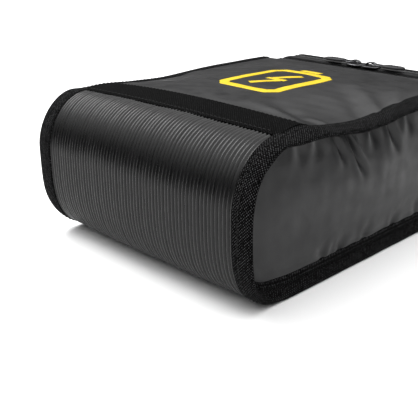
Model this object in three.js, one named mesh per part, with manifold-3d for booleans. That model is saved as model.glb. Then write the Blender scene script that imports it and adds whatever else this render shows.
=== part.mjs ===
// A fire-resistant carry bag for lithium-polymer battery packs, lying on its back.
// X is the bag's width, Y its length with the ribbed base at -Y and the mouth at +Y,
// and Z its thickness. Millimetres.
import * as THREE from 'three';
import * as BufferGeometryUtils from 'three/addons/utils/BufferGeometryUtils.js';
import Module from 'manifold-3d';

const wasm = await Module();
wasm.setup();

// Driving dimensions of the bag
const RIBBED_WIDTH = 160;      // the ribbed base between its two bindings
const THICKNESS = 92;          // back panel to front panel
const LENGTH = 240;            // from the base's foremost line to the lid's outer face
const TAPE_WIDTH = 25;         // one woven tape, used flat on seams and folded round edges
const WALL_GAP = 0.3;          // air between two layers that lie on each other
const WELD = 1e-4;             // corners closer than this are one corner

// The base's rounded end, seen from the side: two superellipse quarters that meet at its nose
const NOSE_HEIGHT = 58;
const FRONT_CURVE_LENGTH = 29;
const FRONT_CURVE_POWER = 1.87;
const BACK_CURVE_LENGTH = 54;
const BACK_CURVE_POWER = 3.4;
const CURVE_STEPS = 12;
const CORNER_STEPS = 6;

// Wall layers, from the outside in
const SKIN = 1.6;
const PADDING = 3;
const LINING = 0.8;
const PADDING_INSET = SKIN + WALL_GAP;
const LINING_INSET = PADDING_INSET + PADDING + WALL_GAP;
const WALL = LINING_INSET + LINING;

// Seams across the bag where the ribbed base meets the smooth panels
const FRONT_SEAM_Y = 30.5;
const BACK_SEAM_Y = 57;

// Side walls, as distances from the bag's centre plane
const HALF_WIDTH = RIBBED_WIDTH / 2;
const GUSSET_X = HALF_WIDTH + WALL_GAP;
const GUSSET = 2;
const GUSSET_OUT_X = GUSSET_X + GUSSET;
const SIDE_PADDING_X = HALF_WIDTH - WALL_GAP - PADDING;
const PADDING_HALF_WIDTH = SIDE_PADDING_X - WALL_GAP;
const SIDE_LINING_X = PADDING_HALF_WIDTH - LINING;
const LINING_HALF_WIDTH = SIDE_LINING_X - WALL_GAP;

// Bindings that stand out as a lip round both gussets
const BINDING_THICKNESS = 3;
const BINDING_WIDTH = TAPE_WIDTH / 2;

// The zip runs up one side of the mouth, round a corner, across the front and down the other
// side. Its two halves meet on the zip line, with the bag on one side and the lid on the other
const LID_DEPTH = 16;
const ZIP_Y = LENGTH - LID_DEPTH;
const HOOP_CORNER_RADIUS = 14;
const ZIP_HALF_GAP = 0.6;
const COIL_WIDTH = 1.9;
const COIL_HEIGHT = 2.6;
const COIL_PROUD = 0.8;
const TAPE_FROM_ZIP = ZIP_HALF_GAP + COIL_WIDTH + WALL_GAP;
const ZIP_TAPE = 5;
const RIM_FROM_ZIP = TAPE_FROM_ZIP + ZIP_TAPE + WALL_GAP;
const COLLAR = 6;
const WALL_END_Y = ZIP_Y - RIM_FROM_ZIP - COLLAR - WALL_GAP;

// The lid's end panel, its layers from the outside in, and the line it hinges on
const LID_HINGE_Z = 6.5;
const LID_BOTTOM_Z = LID_HINGE_Z + WALL_GAP;
const LID_SKIN_Y = LENGTH - SKIN;
const LID_PADDING_Y = LID_SKIN_Y - WALL_GAP - PADDING;
const LID_LINING_Y = LID_PADDING_Y - WALL_GAP - LINING;

// Zip sliders, one for each half of the front run, parked nose to nose in the middle
const SLIDER_LENGTH = 13;
const SLIDER_WIDTH = 11;
const SLIDER_PLATE = 1.2;
const SLIDER_NECK = 0.6;
const SLIDER_CLEARANCE = 0.4;
const SLIDER_NOSE_GAP = 0.6;   // from each parked slider's nose to the bag's centre plane
const SLIDER_X = SLIDER_LENGTH / 2 + SLIDER_NOSE_GAP;
const SLIDER_TOP_Z = THICKNESS + COIL_PROUD + SLIDER_CLEARANCE + SLIDER_PLATE;
const BRIDGE_WIDTH = 3;
const BRIDGE_LENGTH = 8.4;
const BRIDGE_HEIGHT = 3.6;
const BRIDGE_WALL = 1.1;
const BRIDGE_SINK = 0.3;

// Each slider's pull is a plate whose end bar lies under the slider's bridge
const PULL_LENGTH = 27;
const PULL_WIDTH = 8;
const PULL_THICKNESS = 1.2;
const PULL_BAR = 1.2;
const PULL_EYE_LENGTH = 5.4;
const PULL_EYE_WIDTH = 4.4;
const PULL_LIFT = 0.5;
const PULL_Z = SLIDER_TOP_Z + PULL_LIFT;

// The carry handle is webbing, sewn flat at both ends and bowed a little in between
const WEBBING = 2;
const HANDLE_HALF_LENGTH = 66;
const HANDLE_END = 22;
const HANDLE_BOW = 3;
const HANDLE_Z = 50;
const HANDLE_Y = LENGTH + WALL_GAP;
const PATCH = 0.9;
const PATCH_MARGIN = 1;

const bag = new THREE.Group();
const outerLength = HANDLE_Y + WEBBING + HANDLE_BOW;
bag.position.y = -outerLength / 2;

function cloth(color, roughness) {
  return new THREE.MeshStandardMaterial({ color, roughness, metalness: 0 });
}

const smoothFabric = () => cloth(0x2b2c2e, 0.42);
const ribbedRubber = () => cloth(0x202124, 0.5);
const wovenTape = () => cloth(0x121214, 0.85);
const feltPadding = () => cloth(0x8c8d88, 0.95);
const glassCloth = () => cloth(0xb9b7ae, 0.7);
const webbing = () => cloth(0x17181a, 0.8);
const darkMetal = () => new THREE.MeshStandardMaterial({ color: 0x3a3b3e, roughness: 0.35, metalness: 1 });

function add(name, geometry, material) {
  const mesh = new THREE.Mesh(geometry, material);
  mesh.name = name;
  bag.add(mesh);
}

function slab(x0, x1, y0, y1, z0, z1) {
  const box = new THREE.BoxGeometry(x1 - x0, y1 - y0, z1 - z0);
  return box.translate((x0 + x1) / 2, (y0 + y1) / 2, (z0 + z1) / 2);
}

// Pushes an outline drawn in Y and Z along the width, from x0 to x1
function acrossWidth(outline, x0, x1) {
  const shape = new THREE.Shape(outline);
  const solid = new THREE.ExtrudeGeometry(shape, { depth: x1 - x0, bevelEnabled: false });
  const alongX = new THREE.Vector3(1, 0, 0);
  const alongY = new THREE.Vector3(0, 1, 0);
  const alongZ = new THREE.Vector3(0, 0, 1);
  solid.applyMatrix4(new THREE.Matrix4().makeBasis(alongY, alongZ, alongX));
  return solid.translate(x0, 0, 0);
}

// Pushes an outline drawn in X and Z along the length, from y0 to y1
function alongLength(outline, y0, y1) {
  const shape = new THREE.Shape(outline);
  const solid = new THREE.ExtrudeGeometry(shape, { depth: y1 - y0, bevelEnabled: false });
  return solid.rotateX(Math.PI / 2).translate(0, y1, 0);
}

function toManifold(geometry) {
  const bare = geometry.clone();
  bare.deleteAttribute('normal');
  bare.deleteAttribute('uv');
  const merged = BufferGeometryUtils.mergeVertices(bare, WELD);
  return new wasm.Manifold(new wasm.Mesh({
    numProp: 3,
    vertProperties: new Float32Array(merged.attributes.position.array),
    triVerts: new Uint32Array(merged.index.array),
  }));
}

function joined(first, second) {
  const mesh = toManifold(first).add(toManifold(second)).getMesh();
  const geometry = new THREE.BufferGeometry();
  geometry.setAttribute('position', new THREE.BufferAttribute(mesh.vertProperties, 3));
  geometry.setIndex(new THREE.BufferAttribute(mesh.triVerts, 1));
  geometry.computeVertexNormals();
  return geometry;
}

// The wall's side outline, a given depth below its outer face: along the back from
// backEnd, round the base and along the front to frontEnd
function wallPath(inset, backEnd, frontEnd) {
  const path = [new THREE.Vector2(backEnd, inset)];
  for (let step = 0; step <= CURVE_STEPS; step += 1) {
    const angle = (step / CURVE_STEPS) * (Math.PI / 2);
    const forward = Math.sin(angle) ** (2 / BACK_CURVE_POWER);
    const down = Math.cos(angle) ** (2 / BACK_CURVE_POWER);
    path.push(new THREE.Vector2(
      BACK_CURVE_LENGTH - (BACK_CURVE_LENGTH - inset) * forward,
      NOSE_HEIGHT - (NOSE_HEIGHT - inset) * down,
    ));
  }
  for (let step = 1; step <= CURVE_STEPS; step += 1) {
    const angle = (step / CURVE_STEPS) * (Math.PI / 2);
    const forward = Math.cos(angle) ** (2 / FRONT_CURVE_POWER);
    const up = Math.sin(angle) ** (2 / FRONT_CURVE_POWER);
    path.push(new THREE.Vector2(
      FRONT_CURVE_LENGTH - (FRONT_CURVE_LENGTH - inset) * forward,
      NOSE_HEIGHT + (THICKNESS - NOSE_HEIGHT - inset) * up,
    ));
  }
  path.push(new THREE.Vector2(frontEnd, THICKNESS - inset));
  return path;
}

// A sheet that wraps the base between two depths of the wall
function wrap(outer, inner, backEnd, frontEnd, x0, x1) {
  const outside = wallPath(outer, backEnd, frontEnd);
  const inside = wallPath(inner, backEnd, frontEnd).reverse();
  return acrossWidth([...outside, ...inside], x0, x1);
}

// A side wall: the whole side outline, a given depth below the outer face
function sideWall(inset, x0, x1) {
  return acrossWidth(wallPath(inset, WALL_END_Y, WALL_END_Y), x0, x1);
}

// The mouth's hoop in X and Z, a given distance outside the gussets and the front panel:
// up the left side from bottomZ, round both top corners and down the right side
function hoopPath(outset, bottomZ) {
  const radius = HOOP_CORNER_RADIUS + outset;
  const centreX = GUSSET_OUT_X - HOOP_CORNER_RADIUS;
  const centreZ = THICKNESS - HOOP_CORNER_RADIUS;
  const path = [new THREE.Vector2(-centreX - radius, bottomZ)];
  for (const [side, startAngle] of [[-1, Math.PI], [1, Math.PI / 2]]) {
    for (let step = 0; step <= CORNER_STEPS; step += 1) {
      const angle = startAngle - (step / CORNER_STEPS) * (Math.PI / 2);
      const x = side * centreX + radius * Math.cos(angle);
      path.push(new THREE.Vector2(x, centreZ + radius * Math.sin(angle)));
    }
  }
  path.push(new THREE.Vector2(centreX + radius, bottomZ));
  return path;
}

function hoop(outset, thickness, bottomZ, y0, y1) {
  const outside = hoopPath(outset, bottomZ);
  const inside = hoopPath(outset - thickness, bottomZ).reverse();
  return alongLength([...outside, ...inside], y0, y1);
}

function addBodySkins() {
  const frontFloor = THICKNESS - SKIN;
  const frontPanelY = FRONT_SEAM_Y + TAPE_WIDTH;
  const backPanelY = BACK_SEAM_Y + TAPE_WIDTH;
  add('ribbed_base_panel',
    wrap(0, SKIN, BACK_SEAM_Y - WALL_GAP, FRONT_SEAM_Y - WALL_GAP, -HALF_WIDTH, HALF_WIDTH),
    ribbedRubber());
  add('front_seam_strip',
    slab(-HALF_WIDTH, HALF_WIDTH, FRONT_SEAM_Y, frontPanelY, frontFloor, THICKNESS), wovenTape());
  add('back_seam_strip',
    slab(-HALF_WIDTH, HALF_WIDTH, BACK_SEAM_Y, backPanelY, 0, SKIN), wovenTape());
  add('front_panel',
    slab(-HALF_WIDTH, HALF_WIDTH, frontPanelY + WALL_GAP, WALL_END_Y, frontFloor, THICKNESS),
    smoothFabric());
  add('back_panel',
    slab(-HALF_WIDTH, HALF_WIDTH, backPanelY + WALL_GAP, LENGTH, 0, SKIN), smoothFabric());
}

// The padding and the lining repeat the wall's five faces, each one layer further in
function addInnerLayer(layer, inset, thickness, halfWidth, sideX, material) {
  const innerInset = inset + thickness;
  add(`base_${layer}`,
    wrap(inset, innerInset, BACK_CURVE_LENGTH, BACK_CURVE_LENGTH, -halfWidth, halfWidth), material());
  const flatY = BACK_CURVE_LENGTH + WALL_GAP;
  add(`back_${layer}`,
    slab(-halfWidth, halfWidth, flatY, LENGTH, inset, innerInset), material());
  add(`front_${layer}`,
    slab(-halfWidth, halfWidth, flatY, WALL_END_Y, THICKNESS - innerInset, THICKNESS - inset),
    material());
  add(`right_${layer}`, sideWall(inset, sideX, sideX + thickness), material());
  add(`left_${layer}`, sideWall(inset, -sideX - thickness, -sideX), material());
}

function addGussetsAndBindings() {
  const gussetInset = BINDING_THICKNESS + WALL_GAP;
  add('right_gusset', sideWall(gussetInset, GUSSET_X, GUSSET_OUT_X), smoothFabric());
  add('left_gusset', sideWall(gussetInset, -GUSSET_OUT_X, -GUSSET_X), smoothFabric());
  const lipX = HALF_WIDTH + BINDING_WIDTH;
  add('right_binding',
    wrap(0, BINDING_THICKNESS, WALL_END_Y, WALL_END_Y, GUSSET_X, lipX), wovenTape());
  add('left_binding',
    wrap(0, BINDING_THICKNESS, WALL_END_Y, WALL_END_Y, -lipX, -GUSSET_X), wovenTape());
}

// Collar, zip tape and coil on the bag's side of the zip line, and their mirror images on the
// lid's side, where the lid's rim takes the collar's place
function addZipHoops() {
  const rimFarEdge = LID_SKIN_Y - WALL_GAP - ZIP_Y;
  const sides = [
    ['body', -1, RIM_FROM_ZIP + COLLAR, 'mouth_collar', WALL + WALL_GAP],
    ['lid', 1, rimFarEdge, 'lid_rim', LID_BOTTOM_Z],
  ];
  for (const [side, direction, farEdge, edgeName, bottomZ] of sides) {
    const hoops = [
      [edgeName, 0, GUSSET, RIM_FROM_ZIP, farEdge, smoothFabric],
      [`${side}_zip_tape`, 0, GUSSET, TAPE_FROM_ZIP, TAPE_FROM_ZIP + ZIP_TAPE, wovenTape],
      [`${side}_zip_coil`, COIL_PROUD, COIL_HEIGHT, ZIP_HALF_GAP, ZIP_HALF_GAP + COIL_WIDTH, wovenTape],
    ];
    for (const [name, outset, thickness, near, far, material] of hoops) {
      const ends = [ZIP_Y + direction * near, ZIP_Y + direction * far];
      add(name, hoop(outset, thickness, bottomZ, Math.min(...ends), Math.max(...ends)), material());
    }
  }
}

function addLid() {
  add('lid_panel', alongLength(hoopPath(0, LID_BOTTOM_Z), LID_SKIN_Y, LENGTH), smoothFabric());
  const inside = hoopPath(-GUSSET - WALL_GAP, LID_BOTTOM_Z);
  add('lid_padding',
    alongLength(inside, LID_PADDING_Y, LID_PADDING_Y + PADDING - WALL_GAP), feltPadding());
  add('lid_lining', alongLength(inside, LID_LINING_Y, LID_LINING_Y + LINING), glassCloth());
  add('lid_hinge_tape',
    slab(-HALF_WIDTH, HALF_WIDTH, LENGTH + WALL_GAP, LENGTH + WALL_GAP + SKIN, 0, WALL), wovenTape());
}

// One cast slider: two plates joined by a thin neck between the coils, with a bridge on top
function sliderBody() {
  const half = SLIDER_WIDTH / 2;
  const neck = SLIDER_NECK / 2;
  const bottomZ = THICKNESS + COIL_PROUD - COIL_HEIGHT - SLIDER_CLEARANCE;
  const profile = [
    [-half, bottomZ - SLIDER_PLATE], [half, bottomZ - SLIDER_PLATE], [half, bottomZ],
    [neck, bottomZ], [neck, SLIDER_TOP_Z - SLIDER_PLATE], [half, SLIDER_TOP_Z - SLIDER_PLATE],
    [half, SLIDER_TOP_Z], [-half, SLIDER_TOP_Z], [-half, SLIDER_TOP_Z - SLIDER_PLATE],
    [-neck, SLIDER_TOP_Z - SLIDER_PLATE], [-neck, bottomZ], [-half, bottomZ],
  ];
  const outline = profile.map(([y, z]) => new THREE.Vector2(ZIP_Y + y, z));
  return acrossWidth(outline, -SLIDER_LENGTH / 2, SLIDER_LENGTH / 2);
}

function sliderBridge() {
  const half = BRIDGE_LENGTH / 2;
  const inside = half - BRIDGE_WALL;
  const topZ = SLIDER_TOP_Z + BRIDGE_HEIGHT;
  const footZ = SLIDER_TOP_Z - BRIDGE_SINK;
  const profile = [
    [-half, footZ], [-inside, footZ], [-inside, topZ - BRIDGE_WALL], [inside, topZ - BRIDGE_WALL],
    [inside, footZ], [half, footZ], [half, topZ - BRIDGE_WALL], [inside, topZ], [-inside, topZ],
    [-half, topZ - BRIDGE_WALL],
  ];
  const outline = profile.map(([x, z]) => new THREE.Vector2(x, z));
  return alongLength(outline, ZIP_Y - BRIDGE_WIDTH / 2, ZIP_Y + BRIDGE_WIDTH / 2);
}

// The pull lies along +X from its bar, with an eye for the slider's bridge
function pullPlate() {
  const half = PULL_WIDTH / 2;
  const bar = PULL_BAR / 2;
  const plate = new THREE.Shape([
    new THREE.Vector2(-bar, -half),
    new THREE.Vector2(PULL_LENGTH - half, -half),
    new THREE.Vector2(PULL_LENGTH, -half / 2),
    new THREE.Vector2(PULL_LENGTH, half / 2),
    new THREE.Vector2(PULL_LENGTH - half, half),
    new THREE.Vector2(-bar, half),
  ]);
  const eyeHalf = PULL_EYE_WIDTH / 2;
  plate.holes.push(new THREE.Path([
    new THREE.Vector2(bar, -eyeHalf),
    new THREE.Vector2(bar + PULL_EYE_LENGTH, -eyeHalf),
    new THREE.Vector2(bar + PULL_EYE_LENGTH, eyeHalf),
    new THREE.Vector2(bar, eyeHalf),
  ]));
  return new THREE.ExtrudeGeometry(plate, { depth: PULL_THICKNESS, bevelEnabled: false });
}

function addSliders() {
  for (const [name, side, turn] of [['left', -1, Math.PI], ['right', 1, 0]]) {
    const slider = joined(sliderBody(), sliderBridge()).translate(side * SLIDER_X, 0, 0);
    add(`${name}_zip_slider`, slider, darkMetal());
    const pull = pullPlate().rotateZ(turn).translate(side * SLIDER_X, ZIP_Y, PULL_Z);
    add(`${name}_zip_pull`, pull, darkMetal());
  }
}

// Flat on the lid at its sewn ends and bowed a little in between, drawn in X and Y
function handleStrap() {
  const flatX = HANDLE_HALF_LENGTH - HANDLE_END;
  const sides = [];
  for (const depth of [0, WEBBING]) {
    const side = [new THREE.Vector2(-HANDLE_HALF_LENGTH, HANDLE_Y + depth)];
    for (let step = 0; step <= CURVE_STEPS; step += 1) {
      const along = step / CURVE_STEPS;
      const bow = HANDLE_BOW * Math.sin(Math.PI * along) ** 2;
      side.push(new THREE.Vector2(-flatX + 2 * flatX * along, HANDLE_Y + depth + bow));
    }
    side.push(new THREE.Vector2(HANDLE_HALF_LENGTH, HANDLE_Y + depth));
    sides.push(side);
  }
  const shape = new THREE.Shape([...sides[0], ...sides[1].reverse()]);
  const strap = new THREE.ExtrudeGeometry(shape, { depth: TAPE_WIDTH, bevelEnabled: false });
  return strap.translate(0, 0, HANDLE_Z - TAPE_WIDTH / 2);
}

function addHandle() {
  add('carry_handle', handleStrap(), webbing());
  const patchY = HANDLE_Y + WEBBING + WALL_GAP;
  const lowZ = HANDLE_Z - TAPE_WIDTH / 2;
  const innerX = HANDLE_HALF_LENGTH - HANDLE_END + PATCH_MARGIN;
  for (const [name, x0, x1] of [
    ['right_handle_patch', innerX, HANDLE_HALF_LENGTH],
    ['left_handle_patch', -HANDLE_HALF_LENGTH, -innerX],
  ]) {
    add(name, slab(x0, x1, patchY, patchY + PATCH, lowZ, lowZ + TAPE_WIDTH), webbing());
  }
}

addBodySkins();
addInnerLayer('padding', PADDING_INSET, PADDING, PADDING_HALF_WIDTH, SIDE_PADDING_X, feltPadding);
addInnerLayer('lining', LINING_INSET, LINING, LINING_HALF_WIDTH, SIDE_LINING_X, glassCloth);
addGussetsAndBindings();
addZipHoops();
addLid();
addSliders();
addHandle();

export default bag;
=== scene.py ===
# A padded, fire-resistant carry bag for battery packs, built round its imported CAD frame.
# Metres, +Z up: the bag lies on its back with the ribbed base at -Y and the lid at +Y.
import math
import bmesh
import bpy
import numpy as np
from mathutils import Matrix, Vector


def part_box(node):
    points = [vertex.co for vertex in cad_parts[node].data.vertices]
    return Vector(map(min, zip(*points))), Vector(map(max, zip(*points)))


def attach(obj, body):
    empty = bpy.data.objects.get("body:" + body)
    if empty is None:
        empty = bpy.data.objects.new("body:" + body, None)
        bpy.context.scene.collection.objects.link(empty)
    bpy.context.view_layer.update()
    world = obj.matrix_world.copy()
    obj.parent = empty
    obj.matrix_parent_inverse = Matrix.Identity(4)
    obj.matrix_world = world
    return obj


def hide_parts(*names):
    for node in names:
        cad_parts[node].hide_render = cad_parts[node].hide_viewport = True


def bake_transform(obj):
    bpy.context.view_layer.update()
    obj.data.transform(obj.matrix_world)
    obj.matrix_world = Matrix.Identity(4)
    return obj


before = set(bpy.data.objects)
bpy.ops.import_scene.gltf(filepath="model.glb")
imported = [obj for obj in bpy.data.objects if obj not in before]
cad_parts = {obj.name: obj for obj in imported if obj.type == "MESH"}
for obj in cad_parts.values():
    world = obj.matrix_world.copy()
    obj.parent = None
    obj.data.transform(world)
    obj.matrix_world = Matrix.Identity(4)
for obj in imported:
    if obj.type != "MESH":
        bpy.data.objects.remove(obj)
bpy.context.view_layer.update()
MM = 0.001
UP = (0, 0, 1.0)
DOWN = (0, 0, -1.0)
TO_LID = (0, 1.0, 0)
TO_BASE = (0, -1.0, 0)

# ---------------------------------------------------------------- places from the frame
base_low, base_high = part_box("ribbed_base_panel")
strip_low, strip_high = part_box("front_seam_strip")
back_strip_low, back_strip_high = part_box("back_seam_strip")
lid_low, lid_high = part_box("lid_panel")
handle_low, handle_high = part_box("carry_handle")
HALF_WIDTH = base_high[0]
THICKNESS = base_high[2]
NOSE_Y = base_low[1]
WALL_END_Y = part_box("front_panel")[1][1]
END_Y = lid_high[1]
GUSSET_OUT_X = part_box("right_gusset")[1][0]
RIBS = 60
RIB_PITCH = 2 * HALF_WIDTH / RIBS

# The base's side profile, as in the CAD: two superellipse quarters that meet at the nose
NOSE_HEIGHT = 58 * MM
FRONT_CURVE = 29 * MM
FRONT_POWER = 1.87
BACK_CURVE = 54 * MM
BACK_POWER = 3.4


# ---------------------------------------------------------------- small maths
WAVES = 7
WAVE_RANGE = (0.6, 1.6)


def ease(start, end, value):
    t = np.clip((value - start) / (end - start), 0.0, 1.0)
    return t * t * (3 - 2 * t)


def hump(value, centre, width):
    return np.exp(-((value - centre) / width) ** 2)


def unevenness(a, b, scale, seed):
    """Smooth, repeatable waviness between -1 and 1 over two coordinates in metres."""
    draw = np.random.default_rng(seed)
    total = np.zeros(np.broadcast(a, b).shape)
    for _ in range(WAVES):
        direction = draw.uniform(0, 2 * math.pi)
        wave = draw.uniform(*WAVE_RANGE) / scale
        phase = draw.uniform(0, 2 * math.pi)
        along = a * math.cos(direction) + b * math.sin(direction)
        total = total + np.sin(2 * math.pi * wave * along + phase)
    return total / WAVES


def unit(vectors):
    size = np.linalg.norm(vectors, axis=-1, keepdims=True)
    return vectors / np.maximum(size, 1e-12)


def travelled(points):
    """The distance covered along a row of points, at each of them."""
    steps = np.linalg.norm(np.diff(points, axis=0), axis=1)
    return np.concatenate([[0], np.cumsum(steps)])


def averaged(values, reach):
    """A row of values, each averaged with its neighbours up to reach steps away."""
    kernel = np.hanning(2 * reach + 1)
    padded = np.pad(values, reach, mode="edge")
    return np.convolve(padded, kernel / kernel.sum(), mode="valid")


def placed(x, y, z):
    """Points from their three coordinates, each a number, a row, a column or a grid."""
    return np.stack(np.broadcast_arrays(x, y, z), axis=-1)


def shares(rows, columns):
    """Shares from 0 to 1 down the rows and across the columns of a grid."""
    return np.linspace(0, 1, rows)[:, None], np.linspace(0, 1, columns)[None, :]


def dome(rows, columns, row_power, column_power):
    """A grid that rises from 0 at its border to 1 in its middle."""
    u, v = shares(rows, columns)
    return np.sin(math.pi * u) ** row_power * np.sin(math.pi * v) ** column_power


def along_and_away(a, b, start, end):
    """Places as shares of the way from start to end, and as distances off that line."""
    direction = end - start
    size = float(np.hypot(*direction))
    along = ((a - start[0]) * direction[0] + (b - start[1]) * direction[1]) / size ** 2
    away = ((a - start[0]) * direction[1] - (b - start[1]) * direction[0]) / size
    return along, away


class SideProfile:
    """The bag's outer line seen from the side, by its length along it: from the mouth along
    the front, round the base and along the back to the lid."""

    CURVE_POINTS = 400
    POINTS = 2400
    SOFTENING = 12

    def __init__(self):
        turn = np.linspace(0, math.pi / 2, self.CURVE_POINTS)
        top_y = NOSE_Y + FRONT_CURVE - FRONT_CURVE * np.sin(turn) ** (2 / FRONT_POWER)
        top_z = NOSE_HEIGHT + (THICKNESS - NOSE_HEIGHT) * np.cos(turn) ** (2 / FRONT_POWER)
        low_y = NOSE_Y + BACK_CURVE - BACK_CURVE * np.cos(turn) ** (2 / BACK_POWER)
        low_z = NOSE_HEIGHT - NOSE_HEIGHT * np.sin(turn) ** (2 / BACK_POWER)
        y = np.concatenate([[WALL_END_Y], top_y, low_y[1:], [END_Y]])
        z = np.concatenate([[THICKNESS], top_z, low_z[1:], [0.0]])
        length = travelled(np.stack([y, z], axis=-1))
        self.total = length[-1]
        self.s = np.linspace(0, self.total, self.POINTS)
        self.y = np.interp(self.s, length, y)
        self.z = np.interp(self.s, length, z)
        tangent_y = averaged(np.gradient(self.y), self.SOFTENING)
        tangent_z = averaged(np.gradient(self.z), self.SOFTENING)
        size = np.hypot(tangent_y, tangent_z)
        self.out_y = tangent_z / size
        self.out_z = -tangent_y / size

    def at(self, s):
        values = (self.y, self.z, self.out_y, self.out_z)
        return [np.interp(s, self.s, value) for value in values]

    def front(self, y):
        """Length along the profile where the front panel is at y."""
        return WALL_END_Y - y

    def back(self, y):
        """Length along the profile where the back panel is at y."""
        return self.total - (END_Y - y)


profile = SideProfile()
S_STRIP_FAR = profile.front(strip_high[1])
S_STRIP_NEAR = profile.front(strip_low[1])
S_NOSE = profile.s[int(np.argmin(profile.y))]
S_FLOOR = profile.back(NOSE_Y + BACK_CURVE)
S_BACK_SEAM = profile.back(back_strip_low[1])
S_BACK_PANEL = profile.back(back_strip_high[1])
S_WALL_END_BACK = profile.back(WALL_END_Y)

# How far the padded walls swell out in the middle of the width, in mm, along the profile
CROWN = [
    (0, 0.4),
    (profile.front(NOSE_Y + 170 * MM), 5.2),
    (profile.front(NOSE_Y + 115 * MM), 6.0),
    (S_STRIP_FAR, 4.2),
    (S_STRIP_NEAR, 1.4),
    (S_NOSE, 1.2),
    (S_FLOOR - 30 * MM, 0.8),
    (S_FLOOR - 8 * MM, 0.0),
    (profile.total, 0.0),
]
CROWN_SOFTENING = 90
CROWN_POWER = 2.2

# The front panel's long edges lift at the seam strip's corner and sag behind it
LIFT_Y = NOSE_Y + 46 * MM
SAG_Y = NOSE_Y + 102 * MM
RIGHT_LIFT, RIGHT_SAG = 3.4 * MM, 3.8 * MM
LEFT_LIFT, LEFT_SAG = 1.4 * MM, 2.0 * MM


def crown(s):
    crown_places, crown_heights = np.array(CROWN).T
    raw = np.interp(profile.s, crown_places, crown_heights * MM)
    smooth = averaged(raw, CROWN_SOFTENING) * ease(S_FLOOR, S_FLOOR - 12 * MM, profile.s)
    return np.interp(s, profile.s, smooth)


def edge_height(s, x):
    y = WALL_END_Y - s
    lift = np.where(x > 0, RIGHT_LIFT, LEFT_LIFT) * hump(y, LIFT_Y, 13 * MM)
    sag = np.where(x > 0, RIGHT_SAG, LEFT_SAG) * hump(y, SAG_Y, 32 * MM)
    return (lift - sag) * ease(S_STRIP_NEAR + 12 * MM, S_STRIP_NEAR, s) * ease(0, 25 * MM, s)


def swell(s, x):
    """How far the outer skin stands outside the flat-sided profile."""
    across = np.minimum(np.abs(x) / HALF_WIDTH, 1.0)
    return crown(s) * (1 - across ** CROWN_POWER) + edge_height(s, x) * across ** 3


def on_skin(s, x, out):
    """Points on the bag's outer skin, lifted by out along its side profile's normal. Behind
    the nose no layer comes nearer to the ground than its depth in the skin."""
    y, z, out_y, out_z = profile.at(s)
    lift = swell(s, x) + out
    lowest = np.where(s > S_NOSE, np.maximum(0, -out), -1.0)
    return placed(x, y + out_y * lift, np.maximum(z + out_z * lift, lowest))


# ---------------------------------------------------------------- mesh building
def new_object(name, vertices, faces, uvs=None, smooth=True):
    mesh = bpy.data.meshes.new(name)
    mesh.from_pydata([tuple(v) for v in np.asarray(vertices).reshape(-1, 3)], [], faces)
    if uvs is not None:
        layer = mesh.uv_layers.new(name="cloth")
        index = np.empty(len(mesh.loops), dtype=np.int64)
        mesh.loops.foreach_get("vertex_index", index)
        uvs = np.asarray(uvs, dtype=np.float32).reshape(-1, 2)
        layer.data.foreach_set("uv", uvs[index].ravel())
    mesh.polygons.foreach_set("use_smooth", [smooth] * len(mesh.polygons))
    mesh.validate()
    thing = bpy.data.objects.new(name, mesh)
    bpy.context.scene.collection.objects.link(thing)
    return thing


def finish_piece(thing, material, slot, body, *nodes):
    thing.data.materials.append(material)
    if body:
        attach(thing, body)
    if nodes:
        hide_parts(*nodes)


def quads(rows, columns, first=0, wrap_columns=False, flip=False):
    faces = []
    last = columns if wrap_columns else columns - 1
    for i in range(rows - 1):
        for j in range(last):
            k = (j + 1) % columns
            face = (first + i * columns + j, first + (i + 1) * columns + j,
                    first + (i + 1) * columns + k, first + i * columns + k)
            faces.append(face[::-1] if flip else face)
    return faces


def lengths_grid(column, row):
    """UV places in metres, from the distances along a column and along a row of points."""
    return np.stack(np.meshgrid(travelled(column), travelled(row), indexing="ij"), axis=-1)


def closed_sheet(name, top, thickness, outward, uv=None):
    """A sheet of cloth as a closed body. outward says which side of the grid is its face."""
    rows, columns = top.shape[:2]
    normal = unit(np.cross(np.gradient(top, axis=0), np.gradient(top, axis=1)))
    flip = float(np.sum(normal * outward)) < 0
    if flip:
        normal = -normal
    bottom = top - normal * thickness
    count = rows * columns
    faces = quads(rows, columns, 0, flip=flip)
    faces += quads(rows, columns, count, flip=not flip)
    border = list(range(columns))
    border += [i * columns + columns - 1 for i in range(1, rows)]
    border += [(rows - 1) * columns + j for j in range(columns - 2, -1, -1)]
    border += [i * columns for i in range(rows - 2, 0, -1)]
    for a, b in zip(border, border[1:] + border[:1]):
        side = (a, b, b + count, a + count)
        faces.append(side[::-1] if flip else side)
    vertices = np.concatenate([top.reshape(-1, 3), bottom.reshape(-1, 3)])
    if uv is None:
        uv = lengths_grid(top[:, columns // 2], top[rows // 2])
    uv = uv.reshape(-1, 2)
    return new_object(name, vertices, faces, np.concatenate([uv, uv]))


def make_outward(thing):
    shape = bmesh.new()
    shape.from_mesh(thing.data)
    bmesh.ops.recalc_face_normals(shape, faces=shape.faces)
    shape.to_mesh(thing.data)
    shape.free()


def loft(name, rings):
    """A closed tube through equal rings, given as an array of rings by points by 3."""
    count, size = rings.shape[:2]
    faces = quads(count, size, wrap_columns=True)
    faces.append(tuple(range(size)))
    faces.append(tuple((count - 1) * size + j for j in range(size - 1, -1, -1)))
    thing = new_object(name, rings, faces, lengths_grid(rings.mean(axis=1), rings[count // 2]))
    make_outward(thing)
    return thing


def tube(name, path, radius, guide, sides=8):
    """A round cord or wire along a path of points that is nowhere parallel to guide."""
    forward = unit(np.gradient(path, axis=0))
    across = unit(np.cross(forward, guide))
    lifted = np.cross(across, forward)
    turn = np.linspace(0, 2 * math.pi, sides, endpoint=False)[None, :, None]
    return loft(name, path[:, None] + radius * np.cos(turn) * across[:, None]
                + radius * np.sin(turn) * lifted[:, None])


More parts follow.
